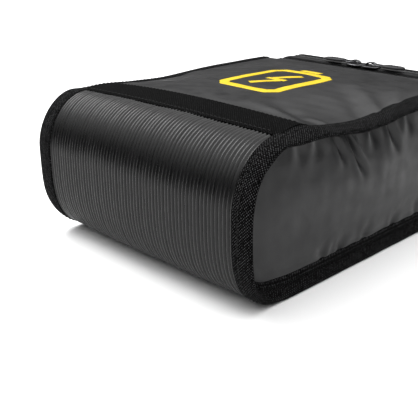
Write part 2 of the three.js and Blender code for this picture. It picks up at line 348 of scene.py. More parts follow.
def rounded(points, passes=2):
    """Chaikin's corner cutting on closed outlines."""
    for _ in range(passes):
        following = np.roll(points, -1, axis=-2)
        near = 0.75 * points + 0.25 * following
        far = 0.25 * points + 0.75 * following
        shape = list(points.shape)
        shape[-2] *= 2
        points = np.stack([near, far], axis=-2).reshape(shape)
    return points


# ---------------------------------------------------------------- materials
class Graph:
    """A principled material and short names for the nodes that drive it."""

    def __init__(self, name, colour, roughness, metallic=0.0, specular=0.5, sheen=0.0):
        self.material = bpy.data.materials.new(name)
        self.material.use_nodes = True
        self.tree = self.material.node_tree
        self.shader = self.tree.nodes["Principled BSDF"]
        uniform = {"Base Color": (*colour, 1), "Roughness": roughness, "Metallic": metallic,
                   "Specular IOR Level": specular, "Sheen Weight": sheen, "Sheen Roughness": 0.5}
        for socket, value in uniform.items():
            self.shader.inputs[socket].default_value = value

    def node(self, kind, **values):
        made = self.tree.nodes.new(kind)
        for key, value in values.items():
            setattr(made, key, value)
        return made

    def put(self, socket, value):
        if isinstance(value, bpy.types.NodeSocket):
            self.tree.links.new(value, socket)
        else:
            socket.default_value = value

    def maths(self, operation, a, b=0.0, c=0.0):
        made = self.node("ShaderNodeMath", operation=operation)
        for socket, value in zip(made.inputs, (a, b, c)):
            self.put(socket, value)
        return made.outputs[0]

    def times(self, a, b):
        return self.maths("MULTIPLY", a, b)

    def wave(self, length, period):
        return self.maths("SINE", self.times(length, 2 * math.pi / period))

    def uv(self):
        split = self.node("ShaderNodeSeparateXYZ")
        self.put(split.inputs[0], self.node("ShaderNodeUVMap", uv_map="cloth").outputs[0])
        return split.outputs[0], split.outputs[1]

    def noise(self, size, detail=3.0, stretch=None):
        """Noise whose features are about size metres, from 0 to 1."""
        made = self.node("ShaderNodeTexNoise")
        made.inputs["Scale"].default_value = 1 / size
        made.inputs["Detail"].default_value = detail
        place = self.node("ShaderNodeTexCoord").outputs["Object"]
        if stretch:
            scaling = self.node("ShaderNodeMapping")
            scaling.inputs["Scale"].default_value = stretch
            self.put(scaling.inputs["Vector"], place)
            place = scaling.outputs[0]
        self.put(made.inputs["Vector"], place)
        return made.outputs["Fac"]

    def spread(self, value, low, high, from_low=0.3, from_high=0.7):
        made = self.node("ShaderNodeMapRange")
        for socket, given in zip(made.inputs, (value, from_low, from_high, low, high)):
            self.put(socket, given)
        return made.outputs[0]

    def colours(self, factor, first, second):
        made = self.node("ShaderNodeMix", data_type="RGBA")
        self.put(made.inputs["Factor"], factor)
        made.inputs["A"].default_value = (*first, 1)
        made.inputs["B"].default_value = (*second, 1)
        self.put(self.shader.inputs["Base Color"], made.outputs["Result"])

    def roughness(self, value):
        self.put(self.shader.inputs["Roughness"], value)

    def bump(self, height, depth, below=None):
        """Bumps of height 0 to 1 and the given depth in metres, over those made before."""
        made = self.node("ShaderNodeBump")
        made.inputs["Strength"].default_value = 1.0
        made.inputs["Distance"].default_value = depth
        self.put(made.inputs["Height"], height)
        if below is not None:
            self.put(made.inputs["Normal"], below)
        self.put(self.shader.inputs["Normal"], made.outputs[0])
        return made.outputs[0]

    def plain_weave(self, pitch):
        """Yarns crossing one over one: 0 in the gaps, 1 on the yarns' tops."""
        u, v = self.uv()
        crossing = self.times(self.wave(u, 2 * pitch), self.wave(v, 2 * pitch))
        return self.maths("MULTIPLY_ADD", crossing, 0.5, 0.5)

    def knots(self, pitch):
        """Small dots in a slanting lattice, where the thick yarns come to the top."""
        u, v = self.uv()
        rows = []
        for sign in ("ADD", "SUBTRACT"):
            wave = self.wave(self.maths(sign, u, v), 2 * pitch)
            rows.append(self.times(wave, wave))
        return self.times(*rows)

    def herringbone(self, pitch, stripe):
        """Slanting yarns whose slant turns back every stripe."""
        u, v = self.uv()
        slant = self.wave(self.maths("ADD", u, self.maths("PINGPONG", v, stripe)), pitch)
        mixed = self.maths("MULTIPLY_ADD", self.wave(v, pitch), 0.35, slant)
        return self.maths("MULTIPLY_ADD", mixed, 0.37, 0.5)


def ribbed_rubber():
    look = Graph("ribbed rubber", (0.005, 0.005, 0.0055), 0.25, specular=0.26)
    _, across = look.uv()
    ridge = look.maths("ABSOLUTE", look.wave(across, 2 * RIB_PITCH))
    cloud = look.spread(look.noise(30 * MM), 0.6, 1.0)
    # Painted shade: the rubber's colour is darkest in the grooves between the ribs and palest on their
    # tops, times a random cloud of tone
    shade = look.times(look.spread(ridge, 0, 1, 0.15, 0.8), cloud)
    look.colours(shade, (0.0004, 0.0004, 0.0004), (0.004, 0.004, 0.0043))
    streaks = look.spread(look.noise(4 * MM, 4, stretch=(3.0, 0.2, 0.2)), 0.2, 0.34)
    look.roughness(look.maths("ADD", streaks, look.spread(ridge, 0.3, 0.0, 0.1, 0.6)))
    coarse = look.bump(look.noise(1.6 * MM, 3, stretch=(1.0, 0.3, 0.3)), 0.07 * MM)
    look.bump(look.noise(0.35 * MM, 2), 0.015 * MM, coarse)
    return look.material


def coated_fabric():
    look = Graph("coated fabric", (0.008, 0.008, 0.0085), 0.42, specular=0.3)
    cloud = look.spread(look.noise(24 * MM), 0, 1)
    look.colours(cloud, (0.005, 0.005, 0.0054), (0.009, 0.009, 0.0095))
    look.roughness(look.spread(look.noise(9 * MM, 4), 0.36, 0.5))
    grain = look.bump(look.noise(0.5 * MM, 2), 0.03 * MM)
    look.bump(look.plain_weave(0.42 * MM), 0.02 * MM, grain)
    return look.material


def woven_tape(name, pitch=1.6 * MM, stripe=2.8 * MM, knot_highlight_shade=0.068):
    """Black woven tape with painted highlights: its raised yarns are painted pale; the last argument
    is how pale these painted highlights are.
    """
    look = Graph(name, (0.002, 0.002, 0.002), 0.85, specular=0.03)
    weave = look.herringbone(pitch, stripe)
    knots = look.knots(pitch)
    fuzz = look.noise(0.9 * MM, 2)
    # Painted highlights: the knots where the raised yarns come to the top are painted pale, more or
    # less by a random fuzz
    knot_highlights = look.times(knots, look.spread(fuzz, 0.1, 1.0, 0.35, 0.62))
    look.colours(look.spread(knot_highlights, 0, 1, 0.15, 0.8), (0.0003, 0.0003, 0.0003),
                 (knot_highlight_shade, knot_highlight_shade, 1.03 * knot_highlight_shade))
    look.roughness(look.spread(fuzz, 0.75, 0.95))
    soft = look.bump(look.noise(3 * MM, 2), 0.15 * MM)
    look.bump(knots, 0.2 * MM, look.bump(weave, 0.12 * MM, soft))
    return look.material


def glass_cloth():
    look = Graph("glass cloth", (0.42, 0.41, 0.38), 0.55, specular=0.5, sheen=0.1)
    weave = look.plain_weave(0.9 * MM)
    cloud = look.noise(18 * MM)
    # Painted shade: the colour darkens in the gaps between the yarns, times a random cloud of tone
    shade = look.times(look.spread(cloud, 0.8, 1.0), look.spread(weave, 0.45, 1.0, 0.1, 0.8))
    look.colours(shade, (0.22, 0.21, 0.19), (0.55, 0.54, 0.5))
    look.roughness(look.spread(weave, 0.65, 0.45, 0.0, 1.0))
    look.bump(weave, 0.15 * MM, look.bump(cloud, 0.6 * MM))
    return look.material


def felt():
    look = Graph("felt padding", (0.26, 0.26, 0.25), 0.95, specular=0.2, sheen=0.3)
    fibres = look.noise(1.2 * MM, 6, stretch=(1.0, 0.35, 1.0))
    look.colours(look.spread(fibres, 0, 1), (0.16, 0.16, 0.155), (0.36, 0.36, 0.35))
    look.roughness(look.spread(fibres, 0.85, 1.0))
    look.bump(fibres, 0.4 * MM, look.bump(look.noise(6 * MM), 0.5 * MM))
    return look.material


def gunmetal():
    look = Graph("gunmetal", (0.09, 0.09, 0.095), 0.32, metallic=1.0)
    wear = look.spread(look.noise(2.5 * MM, 5), 0, 1, 0.45, 0.75)
    look.colours(wear, (0.07, 0.07, 0.074), (0.2, 0.2, 0.205))
    look.roughness(look.spread(look.noise(0.9 * MM, 4), 0.25, 0.42))
    look.bump(look.noise(0.3 * MM, 3), 0.015 * MM)
    return look.material


def yellow_print():
    look = Graph("yellow print", (0.6, 0.43, 0.01), 0.5, specular=0.2)
    cloud = look.noise(6 * MM, 4)
    look.colours(look.spread(cloud, 0, 1), (0.56, 0.4, 0.008), (0.62, 0.45, 0.013))
    look.roughness(look.spread(cloud, 0.42, 0.56))
    look.bump(look.noise(0.4 * MM, 3), 0.02 * MM)
    return look.material


def grained(name, colour, roughness, specular, size, detail, shades, roughness_range, depth):
    """A plain look whose one fine grain sets its shade, its roughness and its bumps."""
    look = Graph(name, colour, roughness, specular=specular)
    grain = look.noise(size, detail)
    look.colours(look.spread(grain, 0, 1), *shades)
    look.roughness(look.spread(grain, *roughness_range))
    look.bump(grain, depth)
    return look.material


RUBBER = ribbed_rubber()
FABRIC = coated_fabric()
# These woven looks all carry painted highlights on their raised yarns; the seam tape is a copy with
# dimmer painted highlights
TAPE = woven_tape("woven tape")
SEAM_TAPE = woven_tape("seam tape", knot_highlight_shade=0.02)
WEBBING = woven_tape("webbing", 1.6 * MM, 4.2 * MM)
ZIP_TAPE = woven_tape("zip tape", 0.8 * MM, 1.6 * MM)
GLASS = glass_cloth()
FELT = felt()
THREAD = grained("sewing thread", (0.004, 0.004, 0.004), 0.65, 0.2, 0.3 * MM, 2,
                 ((0.001, 0.001, 0.001), (0.012, 0.012, 0.012)), (0.55, 0.8), 0.05 * MM)
NYLON = grained("nylon coil", (0.012, 0.012, 0.013), 0.38, 0.5, 0.8 * MM, 3,
                ((0.009, 0.009, 0.01), (0.02, 0.02, 0.021)), (0.3, 0.48), 0.03 * MM)
METAL = gunmetal()
GRIP = grained("moulded grip", (0.015, 0.015, 0.016), 0.6, 0.4, 0.4 * MM, 3,
               ((0.011, 0.011, 0.012), (0.024, 0.024, 0.025)), (0.52, 0.7), 0.04 * MM)
PRINT = yellow_print()


# ---------------------------------------------------------------- stitches
STITCH_RADIUS = 0.28 * MM
STITCH_RINGS = 5
STITCH_SIDES = 6
NEARBY = 0.1 * MM


def stitches(name, path, normals, body, slot, pitch=3.2 * MM, length=2.5 * MM):
    """A row of sewn stitches, each a small bowed bead of thread, along a path."""
    path = np.asarray(path, dtype=float)
    normals = np.broadcast_to(np.asarray(normals, dtype=float), path.shape)
    distances = travelled(path)

    def at(distance, values):
        return np.array([np.interp(distance, distances, values[:, k]) for k in range(3)])

    vertices, faces = [], []
    for number in range(max(1, int((distances[-1] - length) / pitch) + 1)):
        first = len(vertices)
        for ring in range(STITCH_RINGS):
            share = ring / (STITCH_RINGS - 1)
            place = number * pitch + share * length
            normal = unit(at(place, normals))
            ahead = at(min(place + NEARBY, distances[-1]), path)
            behind = at(max(place - NEARBY, 0), path)
            across = np.cross(unit(ahead - behind), normal)
            bow = math.sin(math.pi * share)
            width = STITCH_RADIUS * (0.35 + 0.65 * bow ** 0.5)
            centre = at(place, path) + normal * STITCH_RADIUS * (1.1 * bow - 0.5)
            for side in range(STITCH_SIDES):
                angle = 2 * math.pi * side / STITCH_SIDES
                vertices.append(centre + width * (math.cos(angle) * across + math.sin(angle) * normal))
        last = first + (STITCH_RINGS - 1) * STITCH_SIDES
        faces += quads(STITCH_RINGS, STITCH_SIDES, first, wrap_columns=True)
        faces.append(tuple(first + side for side in range(STITCH_SIDES)))
        faces.append(tuple(last + side for side in reversed(range(STITCH_SIDES))))
    thing = new_object(name, vertices, faces)
    make_outward(thing)
    finish_piece(thing, THREAD, slot, body)


# ---------------------------------------------------------------- ribbed base and its seams
RIB_HEIGHT = 0.8 * MM
STEPS_PER_RIB = 8
TUCK = 1.5 * MM
CUT_HALF = HALF_WIDTH + TUCK
SKIN = 1.2 * MM
TAPE_THICK = 0.7 * MM
RIB_WANDER = 0.18 * MM
RIB_VARIATION = 0.15
BASE_DENTS = 0.35 * MM
BASE_ROWS = 130
STRIP_GRID = (24, 321)
STRIP_RAISED = 0.7 * MM
STRIP_SUNK = 0.4 * MM
RAGGED_EDGE = 0.22 * MM
RAGGED_PITCH = 2.3 * MM
STITCHES_INSIDE = 2.2 * MM


def rib_place(s, x):
    """How many ribs lie between the left edge and x, each a little off its straight line."""
    wander = RIB_WANDER * unevenness(s, x, 60 * MM, 3)
    return (x + wander + HALF_WIDTH) / RIB_PITCH


def rib_lift(s, x):
    """The ribs' height over the sheet: rounded ridges, no two quite as high."""
    place = rib_place(s, x)
    number = np.floor(place)
    ridge = np.sin(math.pi * (place - number)) ** 1.1
    scatter = np.sin(number * 12.9898) * np.cos(number * 4.1414)
    share = 1 - RIB_VARIATION + RIB_VARIATION * scatter
    return RIB_HEIGHT * share * ridge


def build_ribbed_base():
    s = np.linspace(S_STRIP_NEAR - TUCK, S_BACK_SEAM + TUCK, BASE_ROWS)[:, None]
    x = np.linspace(-CUT_HALF, CUT_HALF, RIBS * STEPS_PER_RIB + 1)[None, :]
    dents = BASE_DENTS * unevenness(s, x, 55 * MM, 11) * ease(S_FLOOR, S_FLOOR - 25 * MM, s)
    lift = rib_lift(s, x) - RIB_HEIGHT + dents
    uv = np.stack(np.broadcast_arrays(s, rib_place(s, x) * RIB_PITCH), axis=-1)
    sheet = closed_sheet("ribbed_base", on_skin(s, x, lift), SKIN * 0.5, TO_BASE, uv)
    finish_piece(sheet, RUBBER, "ribbed_rubber", "bag", "ribbed_base_panel")


def build_seam_strip(name, node, s_start, s_end):
    """Woven tape over a seam, its edges turned down. The one on the front stands proud and
    shows a row of stitches at each edge; the one on the back is pressed flat by the bag."""
    on_front_side = s_start < S_NOSE
    raised = STRIP_RAISED if on_front_side else 0.0
    sunk = 0.0 if on_front_side else STRIP_SUNK
    rows, columns = STRIP_GRID
    s = np.linspace(s_start, s_end, rows)[:, None]
    x = np.linspace(-CUT_HALF, CUT_HALF, columns)[None, :]
    along = (s - s_start) / (s_end - s_start) * 2 - 1
    ragged = RAGGED_EDGE * np.sin(2 * math.pi * x / RAGGED_PITCH) * along ** 9
    puffed = 0.25 * MM * unevenness(s, x, 22 * MM, 5)
    lift = raised * (1 - along ** 10) + puffed * (1 - along ** 2) - sunk
    facing = (0, -0.2, 1.0 if on_front_side else -1.0)
    tape = closed_sheet(name, on_skin(s + ragged, x, lift), TAPE_THICK, facing)
    finish_piece(tape, SEAM_TAPE, "woven_tape", "bag", node)
    if not on_front_side:
        return
    row_half = HALF_WIDTH - 2 * MM
    for label, row in (("far", s_start + STITCHES_INSIDE), ("near", s_end - STITCHES_INSIDE)):
        x_row = np.linspace(-row_half, row_half, 200)
        path = on_skin(np.full(200, row), x_row, raised)
        stitches(f"{name}_stitches_{label}", path, (0, -0.1, 1), "bag", "woven_tape")


# ---------------------------------------------------------------- front and back panels
# Soft folds in the front panel, drawn tight between its corners: (x, y) of each end from the
# middle of the nose line, then height and half width, all in millimetres
FOLDS = [
    ((76, 57), (22, 71), 1.5, 6.0),
    ((70, 66), (35, 79), -1.1, 6.0),
    ((80, 74), (58, 66), 0.9, 4.0),
    ((81, 120), (30, 160), 1.6, 7.0),
    ((80, 104), (40, 146), -1.3, 8.0),
    ((80, 140), (52, 190), 1.3, 7.0),
    ((-78, 60), (-40, 84), 0.9, 7.0),
    ((-80, 120), (-48, 150), 0.8, 8.0),
]
WAVES_WIDE = 0.5 * MM
WAVES_NARROW = 0.16 * MM
FRONT_GRID = (190, 200)
BACK_GRID = (90, 90)


def fold_height(x, y):
    total = np.zeros(np.broadcast(x, y).shape)
    nose = np.array([0, NOSE_Y])
    for start, end, height, width in FOLDS:
        along, away = along_and_away(x, y, np.array(start) * MM + nose, np.array(end) * MM + nose)
        strength = ease(-0.15, 0.15, along) * ease(1.15, 0.35, along)
        spread = width * MM * (0.6 + 0.8 * np.clip(along, 0, 1))
        total = total + height * MM * strength * hump(away, 0, spread)
    return total


def front_lift(s, x):
    """How far the front panel's folds and waves stand off the skin."""
    y = WALL_END_Y - s
    soft = WAVES_WIDE * unevenness(x, y, 48 * MM, 21)
    soft = soft + WAVES_NARROW * unevenness(x, y, 17 * MM, 8)
    calm = ease(0, 12 * MM, s) * ease(S_STRIP_FAR + 4 * MM, S_STRIP_FAR - 10 * MM, s)
    edge = ease(1.02, 0.9, np.abs(x) / HALF_WIDTH)
    return (soft * edge + fold_height(x, y)) * calm


def build_front_panel():
    rows, columns = FRONT_GRID
    s = np.linspace(0.2 * MM, S_STRIP_FAR + TUCK, rows)[:, None]
    x = np.linspace(-CUT_HALF, CUT_HALF, columns)[None, :]
    panel = closed_sheet("front_cover", on_skin(s, x, front_lift(s, x)), SKIN, UP)
    finish_piece(panel, FABRIC, "coated_fabric", "bag", "front_panel")


def build_back_panel():
    rows, columns = BACK_GRID
    s = np.linspace(S_BACK_PANEL - TUCK, profile.total, rows)[:, None]
    x = np.linspace(-HALF_WIDTH, HALF_WIDTH, columns)[None, :]
    soft = WAVES_WIDE * (unevenness(x, s, 40 * MM, 31) - 1)
    soft = soft * ease(0, 6 * MM, HALF_WIDTH - np.abs(x))
    soft = soft * ease(profile.total, profile.total - 6 * MM, s)
    panel = closed_sheet("back_cover", on_skin(s, x, soft), SKIN, DOWN)
    finish_piece(panel, FABRIC, "coated_fabric", "bag", "back_panel")


# ---------------------------------------------------------------- bindings
S_LIP_BOTTOM = (S_NOSE + 26 * MM, S_NOSE + 72 * MM)
# The folded tape's section, in millimetres: distance out from the ribbed sheet's edge and
# depth below the skin. The first list is for the front and the nose, the second for the back,
# where the lip lies on the ground and its inner half rises against the gusset
LIP_UPRIGHT = [(-1.2, -0.5), (1.5, -0.9), (6.5, -0.8), (11.3, -0.2), (12.5, 1.3), (11.2, 2.7),
               (6.5, 3.3), (3.0, 3.6), (2.2, 4.2), (1.2, 4.4), (0.0, 3.0), (-1.0, 1.2)]
LIP_FLAT = [(-1.2, 0.1), (1.5, 0.05), (3.8, 0.05), (5.8, 0.1), (6.6, 1.3), (5.2, 3.9),
            (1.6, 6.4), (4.0, 9.0), (5.2, 14.4), (4.2, 15.2), (0.4, 9.0), (-0.9, 1.2)]
LIP_WIDTH = 12.5 * MM
LIP_DROOP = 1.3 * MM
LIP_RINGS = 330
# Which of the section's points the gusset comes out under, and between which the stitches run
LIP_END = 8
STITCHED = (1, 2)


def binding_key_points(s, side):
    """The section's key points at every s, as distance across and depth below the skin."""
    flat = ease(*S_LIP_BOTTOM, s)[:, None, None]
    points = ((1 - flat) * np.array(LIP_UPRIGHT) + flat * np.array(LIP_FLAT)) * MM
    lift = swell(s, side * HALF_WIDTH)[:, None]
    droop = np.clip(points[..., 0] / LIP_WIDTH, 0, 1)
    above = ease(S_STRIP_NEAR + 8 * MM, S_STRIP_NEAR - 8 * MM, s)[:, None]
    wobble = unevenness(s, 0.0 * s, 34 * MM, 17 + side)[:, None] * MM
    points[..., 0] += 0.35 * wobble * droop
    points[..., 1] += droop * (np.maximum(lift, 0) + LIP_DROOP * above) - lift
    points[..., 1] += 0.3 * wobble * droop * (1 - flat[:, :, 0])
    return points


def binding_places(s, side, points):
    y, z, out_y, out_z = [value[:, None] for value in profile.at(s)]
    depth = points[..., 1]
    place_z = np.maximum(z - out_z * depth, 0.0)
    return placed(side * (HALF_WIDTH + points[..., 0]), y - out_y * depth, place_z)


def gusset_border(s, side):
    """Where the gusset comes out from under the binding."""
    under = 0.4 * MM
    points = binding_key_points(s, side)[:, LIP_END:LIP_END + 1]
    return binding_places(s, side, points - np.array([under, 0]))[:, 0]


def build_binding(name, node, side):
    cut = 0.3 * MM
    s = np.linspace(cut, S_WALL_END_BACK - cut, LIP_RINGS)
    keys = binding_key_points(s, side)
    tape = loft(name, binding_places(s, side, rounded(keys)))
    finish_piece(tape, TAPE, "woven_tape", "bag", node)
    middle = keys[:, STITCHED].mean(axis=1, keepdims=True)
    row = binding_places(s, side, middle)[:, 0]
    _, _, out_y, out_z = profile.at(s)
    away = placed(0, out_y, out_z)
    keep = s < S_LIP_BOTTOM[1]
    stitches(f"{name}_outer_stitches", row[keep], away[keep], "bag", "woven_tape")


# ---------------------------------------------------------------- gussets
def length_at_height(height, wrong_side):
    """Length along the profile at a height, on the side of the nose that is not wrong."""
    return profile.s[int(np.argmin(np.abs(profile.z - height) + wrong_side))]


S_UPPER_CORNER = length_at_height(84 * MM, profile.s > S_NOSE)
S_LOWER_CORNER = length_at_height(16 * MM, profile.s < S_NOSE)

# Pleats that the binding gathers into the gusset: (y, z) of the top and the foot from the nose
# line and the ground, then depth and half width, all in millimetres
PLEATS = [
    ((75, 90), (86, 66), 3.4, 1.6),
    ((85, 90), (104, 56), 4.8, 1.7),
    ((60, 90), (64, 74), 1.4, 3.0),
    ((44, 88), (50, 74), 1.0, 3.5),
    ((112, 90), (117, 70), 3.0, 2.6),
    ((126, 91), (140, 62), 3.2, 2.4),
    ((150, 91), (156, 70), 2.2, 3.0),
    ((176, 91), (184, 66), 2.6, 2.6),
    ((70, 12), (66, 24), 1.8, 3.0),
    ((84, 12), (90, 26), 1.6, 3.0),
    ((108, 12), (116, 27), 1.4, 3.4),
    ((140, 12), (146, 26), 1.6, 3.2),
    ((170, 12), (165, 28), 1.5, 3.2),
    ((196, 12), (190, 24), 1.4, 3.0),
]
LEFT_PLEAT_SHIFT = 9 * MM

CLOTH_FRAMES = 18
CLOTH_SETTINGS = {
    "quality": 6,
    "mass": 0.12,
    "air_damping": 4,
    "tension_stiffness": 25,
    "compression_stiffness": 15,
    "shear_stiffness": 5,
    "bending_stiffness": 4.0,
    "shrink_min": -0.02,
    "use_pressure": True,
    "uniform_pressure_force": 60.0,
}
SEAM_GROUP = "seam"
FIRST_PUFF = 6.0 * MM
MOST_PUFF = 11 * MM
MOST_DENT = 1.0 * MM
SIM_SHARE = 0.45
SIM_SMOOTHING = 7
PILLOW_PUFF = 4.8 * MM
FINE_GRID = (240, 120)
COARSE_GRID = (100, 46)


def side_patch(border, rows, columns):
    """Fills a closed side outline with a grid: from the mouth to the nose and from the back up
    to the front. border gives the outline's points by length along the side profile."""
    u, v = shares(rows, columns)
    front = border(S_UPPER_CORNER * u[:, 0])
    back = border(S_WALL_END_BACK + (S_LOWER_CORNER - S_WALL_END_BACK) * u[:, 0])
    nose = border(S_LOWER_CORNER + (S_UPPER_CORNER - S_LOWER_CORNER) * v[0])
    mouth = back[0] + (front[0] - back[0]) * v[0][:, None]
    u, v = u[..., None], v[..., None]
    ruled = (1 - v) * back[:, None] + v * front[:, None]
    other = (1 - u) * mouth[None] + u * nose[None]
    corners = ((1 - u) * (1 - v) * back[0] + u * (1 - v) * back[-1]
               + (1 - u) * v * front[0] + u * v * front[-1])
    return ruled + other - corners


def pleat_depth(y, z, shift):
    """The pleats' valleys, with the cloth heaped up a little on both sides of each."""
    total = np.zeros(y.shape)
    origin = np.array([NOSE_Y + shift, 0])
    for top, foot, depth, width in PLEATS:
        along, away = along_and_away(y, z, np.array(top) * MM + origin, np.array(foot) * MM + origin)
        strength = ease(1.1, 0.3, along) * (along > -0.6)
        spread = width * MM * (0.55 + 0.9 * np.clip(along, 0, 1))
        shoulder = 0.45 * hump(np.abs(away), 2.1 * spread, 1.1 * spread)
        total = total + depth * MM * strength * (shoulder - hump(away, 0, spread))
    return total


def blown_up(points):
    """The shape a cloth takes that is held along its four edges and pushed out from within."""
    rows, columns = points.shape[:2]
    cloth_piece = new_object("cloth_under_pressure", points, quads(rows, columns))
    index = np.arange(rows * columns).reshape(rows, columns)
    held = np.concatenate([index[0], index[-1], index[:, 0], index[:, -1]])
    seam = cloth_piece.vertex_groups.new(name=SEAM_GROUP)
    seam.add([int(i) for i in np.unique(held)], 1.0, "REPLACE")
    modifier = cloth_piece.modifiers.new("cloth", "CLOTH")
    for key, value in CLOTH_SETTINGS.items():
        setattr(modifier.settings, key, value)
    modifier.settings.vertex_group_mass = SEAM_GROUP
    modifier.settings.effector_weights.gravity = 0
    modifier.collision_settings.use_collision = False
    modifier.point_cache.frame_start = 1
    modifier.point_cache.frame_end = CLOTH_FRAMES
    for number in range(1, CLOTH_FRAMES + 1):
        bpy.context.scene.frame_set(number)
    shown = cloth_piece.evaluated_get(bpy.context.evaluated_depsgraph_get())
    moved = np.array([tuple(v.co) for v in shown.data.vertices]).reshape(points.shape)
    bpy.data.objects.remove(cloth_piece)
    bpy.context.scene.frame_set(1)
    return moved


def smoothed(grid, reach):
    """The grid averaged along its rows with its near neighbours, its ends left as they are."""
    kernel = np.hanning(reach + 2)[1:-1]
    kernel = kernel / kernel.sum()
    half = reach // 2
    padded = np.concatenate([grid[:1]] * half + [grid] + [grid[-1:]] * half)
    return sum(weight * padded[k:k + len(grid)] for k, weight in enumerate(kernel))


def finer(grid, rows, columns):
    """The same grid of values at more points, by cubic steps along both directions."""
    def along_first(values, count):
        place = np.linspace(0, len(values) - 1, count)
        whole = np.clip(place.astype(int), 0, len(values) - 2)
        t = (place - whole).reshape(-1, *[1] * (values.ndim - 1))
        before = 2 * values[:1] - values[1:2]
        after = 2 * values[-1:] - values[-2:-1]
        padded = np.concatenate([before, values, after])
        a, b, c, d = (padded[whole + k] for k in range(4))
        return b + 0.5 * t * (c - a + t * (2 * a - 5 * b + 4 * c - d + t * (3 * (b - c) + d - a)))
    once = along_first(grid, rows)
    return np.swapaxes(along_first(np.swapaxes(once, 0, 1), columns), 0, 1)


def tucked_in(rows, columns):
    """A share from 0 to 1 that keeps the wall's nose and front edges back under the lip."""
    u, v = (share[..., None] for share in shares(rows, columns))
    return (0.1 + 0.9 * ease(1.0, 0.92, u)) * (0.15 + 0.85 * ease(1.0, 0.84, v))


def simulated_puff(side):
    """How far a cloth simulation moves each point of a side wall, on the fine grid."""
    flat = side_patch(lambda s: gusset_border(s, side), *COARSE_GRID)
    start = flat.copy()
    start[..., 0] += side * FIRST_PUFF * dome(*COARSE_GRID, 0.6, 0.7)
    # The pressure pushes along the faces' normals, so the left wall's columns are turned round
    moved = blown_up(start[:, ::side])[:, ::side]
    puff = smoothed(moved - flat, SIM_SMOOTHING)
    puff[..., 0] = side * np.clip(side * puff[..., 0], -MOST_DENT, MOST_PUFF)
    return SIM_SHARE * finer(puff, *FINE_GRID) * tucked_in(*FINE_GRID)


def build_gusset(label, side):
    """A side wall that puffs out between its seams, with pleats where the binding gathers it."""
    points = side_patch(lambda s: gusset_border(s, side), *FINE_GRID)
    points = points + simulated_puff(side)
    points[..., 0] += side * PILLOW_PUFF * dome(*FINE_GRID, 0.5, 1)
    y, z = points[..., 1], points[..., 2]
    shift = 0 if side > 0 else LEFT_PLEAT_SHIFT
    soft = 0.7 * MM * unevenness(y, z, 42 * MM, 41 + side) + 0.2 * MM * unevenness(y, z, 17 * MM, 51)
    points[..., 0] += side * (soft + pleat_depth(y, z, shift)) * dome(*FINE_GRID, 0.3, 0.3)
    wall = closed_sheet(f"{label}_gusset_wall", points, SKIN, (side, 0, 0))
    finish_piece(wall, FABRIC, "coated_fabric", "bag", f"{label}_gusset")


# ---------------------------------------------------------------- padding and lining
PAD_DEPTH = 1.9 * MM
PAD_THICK = 2.9 * MM
LINING_DEPTH = 5.2 * MM
LINING_THICK = 0.7 * MM
SIDE_PUFF = 1.0 * MM
SIDE_ROOM = 2.0 * MM
SIDE_EXTRA_DEPTH = 0.2 * MM
QUILTING = 0.35 * MM
WALL_LAYER_GRID = (60, 90)
SIDE_LAYER_GRID = (90, 50)
# Where the base's padding meets the front's and the back's, from the nose
BASE_WRAP_Y = NOSE_Y + 54.2 * MM


def finish_pad(pad, body, node):
    finish_piece(pad, FELT, "felt_padding", body, node)


def wall_layer(name, node, s_start, s_end, depth, thickness, outward):
    """A layer inside a front, base or back wall, following the skin at the given depth."""
    low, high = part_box(node)
    rows, columns = WALL_LAYER_GRID
    s = np.linspace(s_start, s_end, rows)[:, None]
    x = np.linspace(low[0] + SIDE_ROOM, high[0] - SIDE_ROOM, columns)[None, :]
    quilt = QUILTING * (unevenness(s, x, 26 * MM, 61) - 1)
    return closed_sheet(name, on_skin(s, x, -depth + quilt), thickness, outward)


def side_layer(name, node, side, depth, thickness):
    """A layer inside a side wall, bulging a little with the gusset."""
    x_outer = max(abs(corner[0]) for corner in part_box(node)) - SIDE_ROOM

    def border(s):
        y, z, out_y, out_z = profile.at(s)
        under = depth - np.minimum(swell(s, 0 * s + side * HALF_WIDTH), 0)
        inset_y = np.minimum(y - out_y * under, WALL_END_Y)
        return placed(side * x_outer, inset_y, z - out_z * under)

    points = side_patch(border, *SIDE_LAYER_GRID)
    points[..., 0] += side * SIDE_PUFF * dome(*SIDE_LAYER_GRID, 0.7, 0.7)
    return closed_sheet(name, points, thickness, (side, 0, 0))


def build_linings_and_padding():
    s_wrap = profile.front(BASE_WRAP_Y)
    s_wrap_back = profile.back(BASE_WRAP_Y)
    gap = 0.1 * MM
    walls = [("front", 0.3 * MM, s_wrap - gap, UP),
             ("base", s_wrap, s_wrap_back, TO_BASE),
             ("back", s_wrap_back + gap, profile.total - 0.2 * MM, DOWN)]
    for label, start, end, outward in walls:
        pad_node, lining_node = f"{label}_padding", f"{label}_lining"
        pad = wall_layer(f"{label}_pad", pad_node, start, end, PAD_DEPTH, PAD_THICK, outward)
        finish_pad(pad, "bag", pad_node)
        cloth = wall_layer(f"{label}_inner_cloth", lining_node, start, end,
                           LINING_DEPTH, LINING_THICK, outward)
        finish_piece(cloth, GLASS, "glass_cloth", "bag", lining_node)
    for label, side in (("right", 1), ("left", -1)):
        pad = side_layer(f"{label}_side_pad", f"{label}_padding", side,
                         PAD_DEPTH + SIDE_EXTRA_DEPTH, PAD_THICK)
        finish_pad(pad, "bag", f"{label}_padding")
        cloth = side_layer(f"{label}_inner_cloth", f"{label}_lining", side,
                           LINING_DEPTH + SIDE_EXTRA_DEPTH, LINING_THICK)
        finish_piece(cloth, GLASS, "glass_cloth", "bag", f"{label}_lining")


